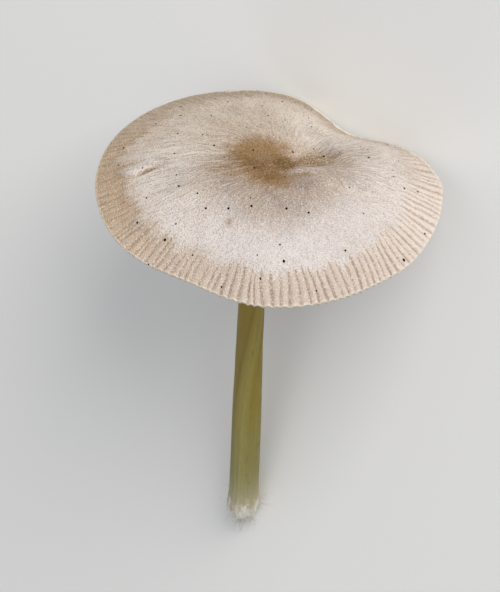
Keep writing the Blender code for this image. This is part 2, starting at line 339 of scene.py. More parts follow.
# %% [markdown]
# ## Plan of the skin
# Seen from above, each column runs from the point where the fibres start to the rim. The rim bulges a
# little on the right and draws in beside the notch of the fold. The skin also ripples in two sizes.

# %% Plan of the skin
FIBRE_POLE = np.array([3.0, 0.55])
POLE_FADE = 1.5
EDGE_THICKNESS = 0.2
RIM_TRIMS = ((0.28, 326, 10), (0.3, 9, 7), (-0.3, 27, 9))

trim = sum(size * facing(angle, degrees, width) for size, degrees, width in RIM_TRIMS)
rim_reach = rim_radius(angle) + trim - EDGE_THICKNESS / 2
rim_plan = rim_reach[..., None] * np.stack([np.cos(angle), np.sin(angle)], -1)
plan = share[..., None] * rim_plan + (1 - share[..., None]) ** POLE_FADE * FIBRE_POLE
true_angle = np.arctan2(plan[..., 1], plan[..., 0])
true_share = np.hypot(plan[..., 0], plan[..., 1]) / rim_radius(true_angle)
ripple = 0.10 * waves(plan, 11.0, seed=21) + 0.04 * waves(plan, 5.0, seed=22)
print("rim trimmed by", round(trim.min(), 2), "to", round(trim.max(), 2), "mm")

# %% [markdown]
# ## Fibres of the skin
# The fibres sway on their way out and curve round beside the fold. The finish stretches its noise along
# them, so their bent direction is worked out here. On the left, near the middle, the skin is finely
# wrinkled.

# %% Direction of the fibres
SWAY, SWAY_FINE, SWIRL, SWIRL_REACH = 0.2, 0.05, 0.35, 9.0
WRINKLE_HEIGHT, WRINKLE_REACH, WRINKLE_SPREAD = 0.05, 9.5, 6.0

from_pole = plan - FIBRE_POLE
pole_angle = np.arctan2(from_pole[..., 1], from_pole[..., 0])
pole_reach = np.hypot(from_pole[..., 0], from_pole[..., 1])
sway = SWAY * waves(plan, 7.0, seed=30)
sway = sway + SWAY_FINE * waves(plan, 2.2, seed=32) * smooth((pole_reach - 4) / 6)
sway = sway / np.maximum(pole_reach, 3.0)
sway = sway - SWIRL * (facing(pole_angle, 25, 50) * (1 - np.exp(-pole_reach / SWIRL_REACH)))
fibre_space = round_the_axis(angle + sway, share * 4.0, 11.0)
wrinkle = WRINKLE_HEIGHT * waves(fibre_space, 0.65, seed=31)
wrinkle = wrinkle * bell(pole_reach - WRINKLE_REACH, WRINKLE_SPREAD) * facing(pole_angle, 195, 50)
print("fibres turn by up to", round(math.degrees(np.abs(sway).max())), "degrees")

# %% [markdown]
# ## Relief of the skin
# On the left lies one small nick, a scratch with a raised lip at its outer end. Near the front are a low
# bump and two shallow dimples. With the ripples, the wrinkles and the grooves they make up the skin's
# relief.

# %% Relief of the skin
NICK_MIDDLE, NICK_WAY = np.array([-17.5, -0.5]), np.array([0.93, 0.37])
NICK_LENGTH, NICK_WIDTH, NICK_DEPTH, NICK_LIP_HEIGHT = 2.0, 0.36, 0.45, 0.3
DIMPLES = ((0.28, 4.2, -14.5, 1.1), (-0.22, 2.2, -13.7, 1.2), (-0.2, -5.2, -11.5, 1.0))

nick_along = (plan - NICK_MIDDLE) @ NICK_WAY
nick_across = (plan - NICK_MIDDLE) @ np.array([-NICK_WAY[1], NICK_WAY[0]])
nick = bell(nick_along, NICK_LENGTH) * bell(nick_across, NICK_WIDTH)
nick_lip = bell(np.hypot((nick_along + 1.7) / 1.7, (nick_across - 1.1) / 0.8), 1.0)
nick_relief = NICK_LIP_HEIGHT * nick_lip - NICK_DEPTH * nick
dimple = sum(
    rise * bell(np.hypot(plan[..., 0] - middle_x, plan[..., 1] - middle_y), wide)
    for rise, middle_x, middle_y, wide in DIMPLES
)
relief = ripple * smooth((1.02 - share) / 0.1) + wrinkle + nick_relief + dimple - LINE_DEPTH * groove
height = form_height(true_share, true_angle) + relief
skin = np.concatenate([plan, height[..., None]], -1)
print("relief from", round(relief.min(), 2), "to", round(relief.max(), 2), "mm")

# %% [markdown]
# ## Rim and underside
# Three rows round the rim off. The underside follows in a few wide rows, because the gills cover it.

# %% The rounded rim and the underside
UNDER_SHARES = np.array([0.985, 0.95, 0.88, 0.74, 0.56, 0.38, 0.2, 0.08])
EDGE_TURNS = np.radians([40, 90, 140])[:, None]
EDGE_BULGE = 0.8

edge_out = skin[-1, :, :2] / np.linalg.norm(skin[-1, :, :2], axis=-1, keepdims=True)
bulge = EDGE_THICKNESS / 2 * np.sin(EDGE_TURNS)[..., None] * edge_out[None]
sink = EDGE_THICKNESS / 2 * (1 - np.cos(EDGE_TURNS))
edge = np.concatenate([skin[-1, :, :2] + bulge * EDGE_BULGE, (skin[-1, :, 2] - sink)[..., None]], -1)

under_share = UNDER_SHARES[:, None] + 0 * base_angle[None, :]
under_angle = np.broadcast_to(angle[-1], under_share.shape)
under_radius = under_share * rim_radius(under_angle)
under_z = under_height(under_share, under_angle)
under_z = under_z - LINE_DEPTH * groove[-1] * smooth((under_share - 0.9) / 0.1)
under = [under_radius * np.cos(under_angle), under_radius * np.sin(under_angle), under_z]
cap_grid = np.concatenate([skin, edge, np.stack(under, -1)])
poles = [
    np.array([*FIBRE_POLE, skin[0, :, 2].mean()]),
    np.array([0.0, 0.0, -FLESH_MIDDLE]),
]
print("cap grid", cap_grid.shape)

# %% [markdown]
# ## Where the cap's colours lie
# The skin is a pale pinkish beige with a whitish bloom. Its middle is brown, the brown runs out along the
# fold, and the outermost band is tan where the wet flesh has lost its bloom. Each of these places is a
# number on every vertex. The material turns the numbers into colour and breaks up their edges with finer
# noise. The places are given in a plan whose middle lies a little behind the cap's.

# %% Ways to say where a colour lies
COLOUR_SHIFT = 0.45
extra_rows = len(cap_grid) - len(skin)
x, y = plan[..., 0], plan[..., 1] - COLOUR_SHIFT


def over_rim(value, beyond=None):
    """Carries a value of the skin's last row, or the value given, over the rim and underneath."""
    last = value[-1:] if beyond is None else np.full_like(value[-1:], beyond)
    return np.concatenate([value, np.repeat(last, extra_rows, 0)])


def spot(middle_x, middle_y, radius_x, radius_y):
    """A soft oval patch on the skin: 1 in its middle and about a third at its radius."""
    return bell(np.hypot((x - middle_x) / radius_x, (y - middle_y) / radius_y), 1.0)


def strongest(*spots):
    """The largest of several spots at each point. Each has its strength, then its place and radii."""
    return np.maximum.reduce([strength * spot(*oval) for strength, *oval in spots])


def side(degrees, width):
    """1 in one direction from the cap's middle, falling off to both sides of it."""
    return facing(true_angle, degrees, width)


print("rows over the rim and underneath:", extra_rows)

# %% [markdown]
# ## Brown middle
# The brown is a round patch with three lobes. A deeper brown lies across it and runs into the start of the
# fold as a thin bent line, partly painted shade along the bottom of the crease. From there a tan fan
# spreads along the fold and fades out.

# %% Numbers for the brown
middle = 1.1 * bell(np.hypot((x + 1.4) / 5.0, (y - 0.3) / 5.0) ** 1.5, 1.0)
lobes = strongest((0.6, -5.6, -2.4, 3.8, 2.4), (0.95, 0.2, -4.4, 4.2, 3.0), (0.7, 1.8, 3.0, 2.2, 1.8))
middle = np.maximum(middle, lobes)
deep = strongest((1.4, 2.3, -0.6, 2.4, 2.0), (0.85, -1.2, -1.4, 3.0, 2.2), (0.75, 0.4, -3.6, 3.2, 2.0))
# The thin bent line along the crease's bottom is partly painted shade.
from_fold = y + 0.9 - 0.1 * (x - 4.3) ** 2
deep = np.maximum(deep, 0.85 * bell(np.hypot((x - 5.6) / 3.4, from_fold / 0.75), 1.0))
fan = facing(pole_angle, 27, 23) + 0.6 * facing(pole_angle, 8, 10) * bell(pole_reach, 5.5)
fan = fan * smooth(pole_reach / 1.2) / (1 + (pole_reach / 7.5) ** 3)
fan = np.maximum(fan, strongest((0.15, 13.0, 5.0, 5.0, 4.0)))
fan = np.maximum(fan, 0.7 * bell(np.hypot((x - 4.8) / 1.9, (y + 3.5 - 0.1 * (x - 4.8)) / 0.5), 1.0))
print("brown on", round(100 * (middle[share < 1] > 0.5).mean()), "% of the skin's points")

# %% [markdown]
# ## Bloom and shade
# The bloom is a ring, thickest at two thirds of the way out and thin at the back. A painted shade greys the
# skin in front of the middle, at its lower left, on the right slope and below the glint beside the fold.
# Long streaks follow the fibres at the right, at the left and behind.

# %% Numbers for the bloom, the shade and the streaks
# Painted shade: greys the skin in front of the middle, at its lower left, on the right slope and below the
# fold's glint.
painted_shade = strongest((1.0, 2.0, -6.5, 8.0, 5.0), (0.7, 9.5, -2.8, 5.0, 3.0), (0.15, 10.0, -13.0, 8.0, 6.0))
painted_shade = painted_shade + 0.8 * spot(4.4, -4.6, 2.8, 1.8)
painted_shade = painted_shade + 0.48 * spot(0.8, -11.6, 5.5, 3.4) + 0.6 * spot(-6.2, -5.2, 2.8, 2.2)
bloom = bell(true_share - 0.68, 0.22) * (1 - 0.75 * side(118, 60))
# The spots at 5.5, 8.5 and 14.0, 8.5 are partly painted light, where the fold's far side and its notch
# catch the light.
bloom = bloom + 0.9 * spot(5.5, 8.5, 3.6, 4.2) + 0.3 * spot(14.0, 8.5, 4.0, 2.2)
bloom = bloom + 0.45 * spot(-11.0, 1.5, 4.5, 5.5) + 0.1 * spot(-5.0, 13.0, 6.0, 4.0)
streak = 1.3 * side(20, 45) + 0.25 * side(100, 40) + 1.2 * side(185, 30) - 0.7 * side(285, 50)
streak = np.minimum(streak, 1.2) * smooth((0.85 - true_share) / 0.25)
streak = streak * smooth((pole_reach - 3.0) / 6.0)
print("bloom up to", round(bloom.max(), 2), "shade up to", round(painted_shade.max(), 2))

# %% [markdown]
# ## Band and rim
# The tan band starts where the lines do, except beside the fold, where it narrows, and behind, where it is
# a little wider. The rim is cream, and at the back right, where it is turned to the light, a wider painted
# highlight lies on it. One small spot in the skin is brown, the nick's line is darkened with painted shade,
# and painted glints lie beside the fold and on the nick's lip.

# %% Numbers for the band and the rim
band_shift = 2.6 * side(52, 26) - 1.5 * side(113, 18)
band_edge = band - band_shift * smooth((1.02 - share) / 0.06)
ragged = waves(round_the_axis(angle, 0.0, 25.0), 2.4, seed=41)
# The rim is cream all round; at the back right it is wider and stronger, a painted highlight where it is
# turned to the light.
rim_highlight_width = 0.006 + side(65, 45) * (0.04 + 0.012 * ragged)
rim = smooth((share - 1) / rim_highlight_width * 1.5 + 1.5) * (0.35 + 0.65 * side(65, 45))
# Painted highlights: a glint beside the fold and one on the nick's lip.
glint = np.maximum(strongest((0.45, 4.3, -2.6, 1.0, 0.45)), 0.55 * nick_lip)
# One small brown spot, and painted shade in the nick's line.
brown_spot_and_nick_shade = np.maximum(spot(-5.3, -13.1, 0.5, 0.6), 1.1 * nick)
print("band from", round(band_edge.min(), 1), "to", round(band_edge.max(), 1), "mm past its start")

# %% The cap's mesh
cap_values = {
    "middle": over_rim(middle, 0),
    "deep": over_rim(deep, 0),
    "boss": over_rim(spot(-0.9, 0.1, 1.7, 2.2), 0),
    "fan": over_rim(fan, 0),
    "glint": over_rim(glint, 0),
    "brown_spot_and_nick_shade": over_rim(brown_spot_and_nick_shade, 0),
    "painted_shade": over_rim(painted_shade, 0),
    "bloom": over_rim(bloom, 0),
    "warm": over_rim(1 - side(285, 100)),
    "left": over_rim(side(178, 48)),
    "right": over_rim(side(356, 40)),
    "back": over_rim(0.8 * side(95, 55)),
    "crisp": over_rim(side(295, 85)),
    "band": over_rim(band_edge),
    "line": over_rim(line),
    "out": over_rim(share, 1.05),
    "rim": over_rim(rim),
    "streak": over_rim(streak, 0),
    "grain": np.concatenate(
        [
            round_the_axis(angle + sway, share, 1.0),
            round_the_axis(np.broadcast_to((angle + sway)[-1], (extra_rows, columns)), 1.0, 1.0),
        ]
    ),
}
cap = piece_from_grid("cap_skin", cap_grid, poles, values=cap_values, inside_out=True)
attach(cap, "root")
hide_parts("cap")
report_piece(cap)

# %% [markdown]
# ## Gills
# Gills hang from the cap like the pages of a book. Modelling each page and joining them would need many
# Booleans. One sheet that goes down and up again round every gill has the same look with one grid: eight
# columns for each gill trace its two sides and its edge, and how far they hang depends on the gill's
# length.

# %% The gills' sizes
GILL_DEPTH, GILL_END_DEPTH, GILL_BELLY = 3.9, 0.12, 0.75
GILL_INNER, GILL_OUTER = 0.14, 0.975
HALF_GILL_INNER, SHORT_GILL_INNER, INNER_SPREAD = 0.46, 0.70, 0.03
HALF_GILL_SHARE, SHORT_GILL_SHARE, SHORT_GILL_RISE = 0.8, 0.6, 0.16
FULL_GILL_WIDER, SHORT_GILL_THINNER = 0.65, 0.3
GILL_BEND, GILL_UNEVEN = 0.1, 0.025
BED_RISE, BED_FACE, BED_BACK, BACK_STEP = 0.05, 0.2, 0.1, 6
SIDE_STEPS = np.array([-0.5, -0.24, -0.15, -0.09, 0.0, 0.09, 0.15, 0.24])
SIDE_HANGS = np.array([0.0, 0.04, 0.45, 0.97, 1.0, 0.97, 0.45, 0.04])
GILL_SHARES = np.concatenate(
    [np.linspace(0.11, 0.3, 10, endpoint=False), np.linspace(0.3, GILL_OUTER, 34)]
)

number = np.repeat(np.arange(LINES), len(SIDE_STEPS))
kind = np.where(number % 4 == 0, 0, np.where(number % 4 == 2, 1, 2))
inner = np.array([GILL_INNER, HALF_GILL_INNER, SHORT_GILL_INNER])[kind]
draw = np.random.default_rng(5)
inner = inner + np.where(kind == 0, 0.0, draw.normal(0, INNER_SPREAD, LINES)[number])
part = np.array([1.0, HALF_GILL_SHARE, SHORT_GILL_SHARE])[kind]
gill_share = GILL_SHARES[:, None] + 0 * number[None, :]
side_step, side_hang = np.tile(SIDE_STEPS, LINES), np.tile(SIDE_HANGS, LINES)
print("full, half and short gills:", (np.bincount(kind) // len(SIDE_STEPS)).tolist())

# %% [markdown]
# ## Hang of the gills
# A full gill is deepest a little nearer the stem than its middle, and thin at both ends. The shorter ones
# start further out and hang less. None is quite straight or quite even.

# %% How far each gill hangs
along = (gill_share - GILL_INNER) / (GILL_OUTER - GILL_INNER)
belly = np.sin(np.pi * np.clip(along, 0, 1) ** GILL_BELLY)
rise = smooth((gill_share - inner) / SHORT_GILL_RISE)
hang = np.where(kind == 0, belly * smooth((gill_share - 0.12) / 0.03), belly * part * rise)
hang = GILL_END_DEPTH * smooth((gill_share - inner) / 0.05) + (GILL_DEPTH - GILL_END_DEPTH) * hang
close_in = smooth((0.55 - gill_share) / 0.4)
widen = np.where(kind == 0, 1 + FULL_GILL_WIDER * close_in, 1 - SHORT_GILL_THINNER * close_in)
gill_centre = number * pitch
bend = waves(round_the_axis(gill_centre + 0 * gill_share, gill_share * 4, 14.0), 3.0, seed=41)
offset = side_step * np.where(side_step == SIDE_STEPS[0], 1, widen)
line_angle = gill_centre + pitch * (offset + GILL_BEND * bend)
down = hang * side_hang
down = down * (1 + GILL_UNEVEN * waves(round_the_axis(line_angle, gill_share * 9, 14.0), 2.5, seed=42))
print("gills hang up to", round(down.max(), 2), "mm")


# %% The sheet that goes round every gill
def sheet_rows(back, face):
    """Some rows of the sheet's plain back on the way out, then those of its gilled face on the way in."""
    return np.concatenate([back[::BACK_STEP], back[-1:], face[::-1]])


bed = under_height(gill_share, line_angle) + BED_RISE
gill_radius = gill_share * rim_radius(line_angle)
gill_plan = [gill_radius * np.cos(line_angle), gill_radius * np.sin(line_angle)]
face = np.stack([*gill_plan, bed - BED_FACE - down], -1)
back = np.stack([*gill_plan, bed + BED_BACK], -1)
edge_amount = side_hang * np.clip(hang / 1.5, 0, 1)
gill_values = {
    "edge": sheet_rows(0 * edge_amount, edge_amount),
    "grain": round_the_axis(sheet_rows(line_angle, line_angle), sheet_rows(gill_share, gill_share), 1.0),
}
gills = piece_from_grid(
    "gill_sheet", sheet_rows(back, face), joined=True, values=gill_values, inside_out=True
)
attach(gills, "root")
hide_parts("gills")
report_piece(gills)

# %% [markdown]
# ## Stem
# The stem is a slender rod, a little bent where it leaves the cap, slightly flat, with one shallow groove
# that winds down it. It is a profile of circles along that bent axis. Fine raised fibres run its whole
# length and wind with the groove.

# %% The stem's sizes
STEM_START, STEM_TOP, STEM_END = 1.6, 2.3, 72.0
STEM_SHIFT, STEM_SHIFT_LENGTH = 1.7, 25.0
STEM_TOP_RADIUS, STEM_FOOT_RADIUS = 1.92, 2.28
STEM_FLARE, STEM_FLARE_LENGTH = 0.65, 3.0
FOOT_SWELL, FOOT_SWELL_AT, FOOT_SWELL_LENGTH = 0.25, 69.0, 2.2
FOOT_ROUND = 3.2
FOOT_START = STEM_END - FOOT_ROUND
STEM_FLATTENING = 0.04
STEM_GROOVE, STEM_GROOVE_WIDTH = 0.06, math.radians(20)
STEM_GROOVE_TURN, STEM_TWIST, STEM_TWIST_SHARE = math.radians(3), math.radians(-155), 0.7
STEM_COLUMNS = 120
FIBRE_HEIGHT = 0.03


# %% The stem's surface
def stem_radius(depth):
    """Half the stem's width: a gentle taper with a flare at the cap and a swollen, rounded foot."""
    ratio = (depth - STEM_TOP) / (STEM_END - STEM_TOP)
    wide = STEM_TOP_RADIUS + (STEM_FOOT_RADIUS - STEM_TOP_RADIUS) * smooth(ratio)
    wide = wide + STEM_FLARE * bell(depth - STEM_TOP, STEM_FLARE_LENGTH)
    wide = wide + FOOT_SWELL * bell(depth - FOOT_SWELL_AT, FOOT_SWELL_LENGTH)
    from_end = np.clip((STEM_END - depth) / FOOT_ROUND, 0, 1)
    return wide * np.sqrt(1 - (1 - from_end) ** 2)


body_depths = np.linspace(STEM_START, FOOT_START, 110, endpoint=False)
quarter = np.linspace(0, math.pi / 2, 16, endpoint=False)
depth = np.concatenate([body_depths, FOOT_START + FOOT_ROUND * np.sin(quarter)])
depth = depth[:, None] + np.zeros((1, STEM_COLUMNS))
around = np.arange(STEM_COLUMNS) * 2 * np.pi / STEM_COLUMNS + 0 * depth
ratio = (depth - STEM_TOP) / (STEM_END - STEM_TOP)
twist = STEM_GROOVE_TURN + STEM_TWIST * smooth(ratio / STEM_TWIST_SHARE)
section = 1 + STEM_FLATTENING * np.cos(2 * (around - twist))
section = section - STEM_GROOVE * bell(apart(around, twist), STEM_GROOVE_WIDTH)
fibres = waves(round_the_axis(around - twist, depth / 40, 6.0), 1.1, seed=51)
stem_wide = stem_radius(depth) * section + FIBRE_HEIGHT * fibres * smooth((STEM_END - depth) / 3)
stem_shift = STEM_SHIFT * smooth((depth - STEM_TOP) / STEM_SHIFT_LENGTH)
stem_grid = [stem_wide * np.cos(around) - stem_shift, stem_wide * np.sin(around), -depth]
stem_grid = np.stack(stem_grid, -1)
stem_poles = [np.array([0.0, 0.0, -STEM_START]), np.array([-STEM_SHIFT, 0.0, -STEM_END])]
past_furrow = apart(around, twist)
stem_values = {
    "down": ratio,
    "grain": round_the_axis(around - 0.5 * twist, depth / 40, 1.0),
    "furrow": bell(past_furrow, STEM_GROOVE_WIDTH * 0.5) * smooth((0.8 - ratio) / 0.3),
    "ochre_side": bell(past_furrow + 0.9, 0.9) * smooth((0.85 - ratio) / 0.6),
    # Painted sheen along the stem's lit side.
    "sheen_side": bell(past_furrow - 0.7, 0.5) * smooth(ratio / 0.4),
}
stem = piece_from_grid("stem_rod", stem_grid, stem_poles, values=stem_values, inside_out=True)
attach(stem, "root")
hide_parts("stem")
report_piece(stem)

# %% [markdown]
# ## Threads at the foot
# A bonnet's foot keeps some of the white threads that it grew from. Each is a thin tapered tube that leaves
# the foot, bends over and, where it meets the floor, lies on it. Three sides are enough for something so
# thin.

# %% The threads' paths
THREADS, THREAD_STEPS, THREAD_SIDES = 150, 7, 3
THREAD_RADIUS, THREAD_TAPER, THREAD_LENGTHS = 0.045, 0.67, (0.8, 2.8)
THREAD_SPREAD, THREAD_CURL, THREAD_ROOT = 0.9, 0.5, 0.1
ROOT_ROWS, ROOT_POWER = 17, 1.6
LIE_HEIGHT = 0.07

draw = np.random.default_rng(61)
root_row = len(depth) - 1 - (draw.uniform(0, 1, THREADS) ** ROOT_POWER * ROOT_ROWS).astype(int)
root_column = draw.integers(0, STEM_COLUMNS, THREADS)
root = stem_grid[root_row, root_column]
out_way = root - np.array([-STEM_SHIFT, 0.0, -FOOT_START])
out_way = out_way + draw.normal(0, THREAD_SPREAD, out_way.shape)
out_way /= np.linalg.norm(out_way, axis=1, keepdims=True)
curl_way = np.cross(out_way, draw.normal(size=out_way.shape))
reach = draw.uniform(*THREAD_LENGTHS, THREADS)[:, None, None]
step = np.linspace(0, 1, THREAD_STEPS)[None, :, None]
bent = step * out_way[:, None] + THREAD_CURL * np.sin(step * 2.6) * step * curl_way[:, None]
paths = lay(root[:, None] - THREAD_ROOT * out_way[:, None] + reach * bent)
paths[..., 2] = np.maximum(paths[..., 2], LIE_HEIGHT * MM)
print("threads on the floor:", int((paths[:, -1, 2] <= LIE_HEIGHT * MM).sum()), "of", THREADS)


# %% Tubes along the paths
def tubes(name, paths, radius):
    """Rings of points round each path, at right angles to it, shrinking to a third at the tip."""
    count, steps = paths.shape[:2]
    ahead = np.gradient(paths, axis=1)
    ahead /= np.linalg.norm(ahead, axis=-1, keepdims=True)
    aside = np.cross(ahead, np.array([0.31, 0.22, 0.92]))
    aside /= np.linalg.norm(aside, axis=-1, keepdims=True)
    across = np.cross(ahead, aside)
    turns = np.arange(THREAD_SIDES) * 2 * np.pi / THREAD_SIDES
    taper = (1 - THREAD_TAPER * np.linspace(0, 1, steps))[None, :, None, None] * radius
    ring = np.cos(turns)[:, None] * aside[:, :, None] + np.sin(turns)[:, None] * across[:, :, None]
    points = (paths[:, :, None] + taper * ring).reshape(-1, 3)
    strand = np.arange(count)[:, None, None] * steps * THREAD_SIDES
    here = np.arange(steps - 1)[None, :, None] * THREAD_SIDES
    first, second = np.arange(THREAD_SIDES), (np.arange(THREAD_SIDES) + 1) % THREAD_SIDES
    corners = [here + first, here + second, here + second + THREAD_SIDES, here + first + THREAD_SIDES]
    quads = np.stack([strand + corner for corner in corners], -1).reshape(-1, 4)
    ends = strand[:, 0] + np.array([[0, 2, 1]])
    tips = strand[:, 0] + (steps - 1) * THREAD_SIDES + np.array([[0, 1, 2]])
    mesh = bpy.data.meshes.new(name)
    mesh.from_pydata(points.tolist(), [], quads.tolist() + ends.tolist() + tips.tolist())
    mesh.shade_smooth()
    piece = bpy.data.objects.new(name, mesh)
    bpy.context.scene.collection.objects.link(piece)
    return piece


threads = tubes("foot_threads", paths, THREAD_RADIUS * MM)
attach(threads, "root")
report_piece(threads)

# %% [markdown]
# ## Building a finish from nodes
# A finish is a chain of small steps: read a number from the mesh, add noise, and lay a colour over the ones
# so far by the result. A helper class keeps each step to one short line.


# %% A helper for node chains
def paint(red, green, blue):
    """A colour given as 0 to 255 for the screen, turned into the linear light that shaders use."""
    parts = np.array([red, green, blue]) / 255
    linear = np.where(parts <= 0.04045, parts / 12.92, ((parts + 0.055) / 1.055) ** 2.4)
    return (*linear.tolist(), 1.0)


class Finish:
    """A Principled material whose colour and bump are built up step by step."""

    def __init__(self, name, roughness, specular, subsurface=0.0):
        self.material = bpy.data.materials.new(name)
        self.material.use_nodes = True
        self.tree = self.material.node_tree
        self.shader = self.tree.nodes["Principled BSDF"]
        self.shader.inputs["Roughness"].default_value = roughness
        self.shader.inputs["Specular IOR Level"].default_value = specular
        self.shader.inputs["Subsurface Weight"].default_value = subsurface
        self.shader.inputs["Subsurface Radius"].default_value = (1.0, 0.7, 0.5)
        self.shader.inputs["Subsurface Scale"].default_value = 0.0006

    def feed(self, socket, value):
        """Links another node's output to a socket, or sets the socket to a plain value."""
        if isinstance(value, bpy.types.NodeSocket):
            self.tree.links.new(value, socket)
        else:
            socket.default_value = value

    def node(self, kind, values, **settings):
        """A node with its settings made and its sockets fed, by name or by number."""
        made = self.tree.nodes.new(kind)
        for name, setting in settings.items():
            setattr(made, name, setting)
        for socket, value in values.items():
            self.feed(made.inputs[socket], value)
        return made

    def number(self, name):
        """The number stored on the mesh under that name."""
        return self.node("ShaderNodeAttribute", {}, attribute_name=name).outputs["Fac"]

    def place(self, name, stretch=(1, 1, 1)):
        """The vector stored on the mesh under that name, stretched along its axes."""
        vector = self.node("ShaderNodeAttribute", {}, attribute_name=name).outputs["Vector"]
        made = self.node("ShaderNodeVectorMath", {0: vector, 1: stretch}, operation="MULTIPLY")
        return made.outputs["Vector"]

    def noise(self, where, scale, detail, rough):
        """Smooth noise around 0, from about minus to plus a half."""
        values = {"Vector": where, "Scale": scale, "Detail": detail, "Roughness": rough}
        made = self.node("ShaderNodeTexNoise", values)
        return self.maths("SUBTRACT", made.outputs["Fac"], 0.5)

    def fibres(self, across, along, detail, rough):
        """Noise that is fine across the fibres and long along them."""
        return self.noise(self.place("grain", (across, across, along)), 1.0, detail, rough)

    def maths(self, operation, *values):
        """One step of arithmetic on numbers."""
        numbered = dict(enumerate(values))
        return self.node("ShaderNodeMath", numbered, operation=operation).outputs["Value"]

    def plus(self, *values):
        """The sum of several numbers."""
        total = values[0]
        for value in values[1:]:
            total = self.maths("ADD", total, value)
        return total

    def times(self, *values):
        """The product of several numbers."""
        total = values[0]
        for value in values[1:]:
            total = self.maths("MULTIPLY", total, value)
        return total

    def step(self, value, low, high):
        """0 below the low value, 1 above the high one, and smooth between."""
        values = {"Value": value, "From Min": low, "From Max": high}
        made = self.node("ShaderNodeMapRange", values, interpolation_type="SMOOTHSTEP")
        return made.outputs["Result"]

    def blend(self, amount, under, over, way="MIX"):
        """The second colour laid over the first by an amount from 0 to 1."""
        made = self.node("ShaderNodeMix", {0: amount}, data_type="RGBA", blend_type=way)
        self.feed(made.inputs[6], under)
        self.feed(made.inputs[7], over)
        return made.outputs[2]

    def colour(self, value):
        """Starts the surface's own colour."""
        self.layers = value

    def cover(self, amount, over, way="MIX"):
        """Lays another colour over what the surface has so far."""
        self.layers = self.blend(amount, self.layers, over, way)

    def bump(self, height, distance):
        """Raises the shading by a height, in metres of relief for each unit."""
        made = self.node("ShaderNodeBump", {"Height": height, "Distance": distance})
        self.feed(self.shader.inputs["Normal"], made.outputs["Normal"])

    def give(self, piece):
        """Puts the finish on a piece, with the colour as it now is."""
        self.feed(self.shader.inputs["Base Color"], self.layers)
        piece.data.materials.append(self.material)
        print(f"{self.material.name}: {len(self.tree.nodes)} nodes")


# %% [markdown]
# ## Finish of the cap
# The colour is built from the bottom up, as it lies on the real skin: watery beige flesh, the bloom on it,
# the brown middle, the tan band with its lines, and the grain of fibres over it all. Every layer reads the
# same few noises: fibres that run outwards, kept equally fine from the middle to the rim by taking three
# widths in turn, a fine speckle, and slow clouds.

# %% Colours of the cap
BEIGE, PALE = paint(193, 174, 154), paint(240, 230, 224)
BLOOM, WARM_BLOOM = paint(218, 209, 205), paint(222, 209, 194)
GREY_BROWN, GRAIN_SHADE = paint(158, 142, 132), paint(220, 214, 206)
LIGHT_BROWN, BROWN, FAN_TAN = paint(149, 116, 74), paint(118, 86, 40), paint(143, 118, 82)
TAN, LEFT_TAN = paint(204, 187, 172), paint(196, 169, 138)
RIGHT_TAN, BACK_TAN = paint(229, 215, 204), paint(166, 147, 121)
LINE_BROWN, CREAM_AND_HIGHLIGHT = paint(140, 115, 90), paint(244, 235, 212)
GLINT, SPECK = paint(226, 222, 224), paint(26, 14, 8)
CAP_SHINE = 0.22

# %% Noise over the skin
finish = Finish("cap_skin_finish", roughness=0.65, specular=CAP_SHINE, subsurface=0.1)
out, line, crisp = finish.number("out"), finish.number("line"), finish.number("crisp")
wide_fibre = finish.fibres(15, 12, 1.0, 0.5)
mid_fibre = finish.fibres(34, 13, 1.0, 0.5)
slim_fibre = finish.fibres(72, 20, 1.0, 0.5)
speckle = finish.noise(finish.place("upright"), 5.0, 0.0, 0.5)
cloud = finish.noise(finish.place("upright"), 0.22, 4.0, 0.6)
outer = finish.step(out, 0.35, 0.65)
start = finish.step(out, 0.05, 0.25)
inner = finish.maths("SUBTRACT", 1.0, finish.step(out, 0.2, 0.4))
fibre = finish.plus(
    finish.times(wide_fibre, inner, start),
    finish.times(mid_fibre, finish.maths("SUBTRACT", start, outer)),
    finish.times(slim_fibre, outer),
)
streak_share = finish.times(finish.number("streak"), 0.3)
fibre_share = finish.plus(finish.times(outer, -0.2), streak_share, 0.75, finish.times(inner, -0.4))
grain = finish.plus(finish.times(fibre, fibre_share), finish.times(speckle, 1.1))

# %% [markdown]
# The bloom lies unevenly, in clouds, and is cooler in front than behind. Painted shade greys it in front of
# the middle and beside the fold. The fan beside the fold is drawn in long fibres.

# %% Flesh, bloom, shade and fan
bloom_amount = finish.plus(finish.number("bloom"), finish.times(cloud, 1.6), 0.1)
bloom_colour = finish.blend(finish.number("warm"), BLOOM, WARM_BLOOM)
finish.colour(BEIGE)
finish.cover(finish.step(bloom_amount, -0.1, 1.1), bloom_colour)
# Painted shade, laid over the bloom in clouds.
painted_shade_amount = finish.times(finish.number("painted_shade"), finish.plus(finish.times(cloud, 1.5), 0.75))
finish.cover(painted_shade_amount, GREY_BROWN)
fan_fibre = finish.fibres(26, 3, 2.0, 0.6)
fan_amount = finish.times(finish.number("fan"), finish.plus(finish.times(fan_fibre, 1.8), 1.0))
finish.cover(finish.step(fan_amount, 0.0, 0.9), FAN_TAN)

# %% [markdown]
# The brown of the middle has a soft edge, broken by clouds, by the fibres and by a curly noise. The low
# boss is a touch greyer, a painted glint lies beside the fold and on the nick's lip, one small spot is
# brown, and the nick's line is darkened with painted shade.

